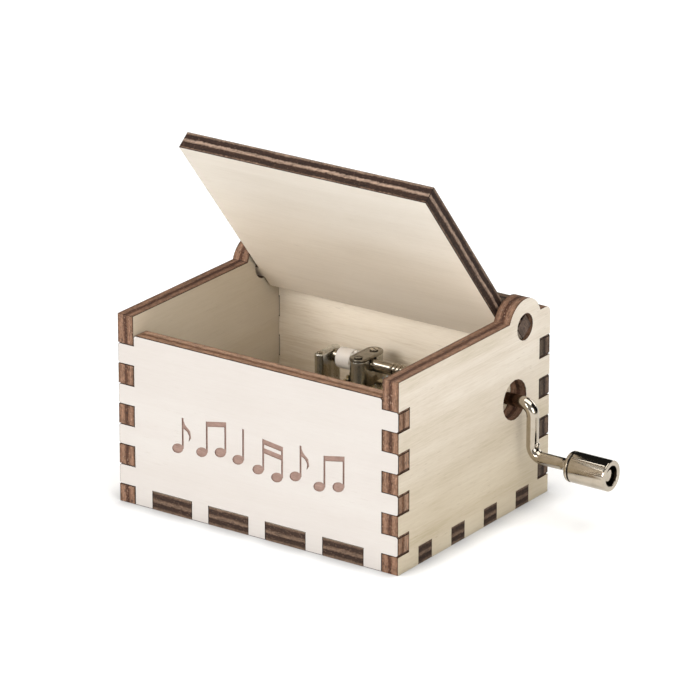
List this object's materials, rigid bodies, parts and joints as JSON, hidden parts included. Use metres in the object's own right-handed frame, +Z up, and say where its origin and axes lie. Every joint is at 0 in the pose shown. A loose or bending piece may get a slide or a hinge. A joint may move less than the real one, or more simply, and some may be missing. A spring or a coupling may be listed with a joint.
{
  "type": "hand-crank music box",
  "caption": "Small hand-crank music box in finger-jointed plywood, with a hinged lid held in side ears and a pinned-drum movement turned by a bent wire crank.",
  "frame": {"origin": "middle of the case's footprint, on its bottom face", "axes": "+X towards the crank, +Y towards the hinge side, +Z up"},
  "size_m": [0.0858, 0.0508, 0.07],
  "materials": {
    "plywood": "bare three-ply basswood, laser cut with browned edges",
    "zinc": "die-cast zinc, dull tumbled grey",
    "steel": "bare ground steel",
    "nickel": "bright nickel plate",
    "drum_metal": "nickel-washed brass, satin",
    "nylon": "natural white nylon"
  },
  "bodies": {
    "case": {"bottom_panel": "plywood", "front_panel": "plywood", "back_panel": "plywood", "left_panel": "plywood", "right_panel": "plywood", "movement_frame": "zinc", "shaft_cap": "steel", "left_post_rivet": "steel", "drum_bearing": "steel", "drum_bearing_screw": "nickel", "comb": "steel", "cap_screw_front": "nickel", "cap_screw_rear": "nickel", "comb_screw_left": "nickel", "comb_screw_right": "nickel", "mount_screw_left": "nickel", "mount_screw_right": "nickel", "mount_screw_rear": "nickel"},
    "lid": {"lid": "plywood"},
    "crank": {"crank": "nickel", "crank_pinion": "nylon"},
    "knob": {"crank_knob": "nickel"},
    "drum": {"drum": "drum_metal", "drum_end_cap": "drum_metal", "drum_gear": "drum_metal", "drum_arbor": "steel"}
  },
  "joints": [
    {"name": "lid_hinge", "type": "hinge", "parent": "case", "child": "lid", "pos_m": [0, 0.01664, 0.03613], "axis": [-1, 0, 0], "range_deg": [-51.2, 88]},
    {"name": "crank_turn", "type": "hinge", "parent": "case", "child": "crank", "pos_m": [0, 0.0134, 0.02245], "axis": [1, 0, 0], "continuous": true},
    {"name": "drum_turn", "type": "hinge", "parent": "case", "child": "drum", "pos_m": [0, 0.0134, 0.01365], "axis": [1, 0, 0], "continuous": true},
    {"name": "knob_spin", "type": "hinge", "parent": "crank", "child": "knob", "pos_m": [0.0493, 0.0134, 0.01203], "axis": [1, 0, 0], "continuous": true}
  ],
  "couplings": [
    {"joint": "drum_turn", "follows": "crank_turn", "ratio": -0.25}
  ]
}
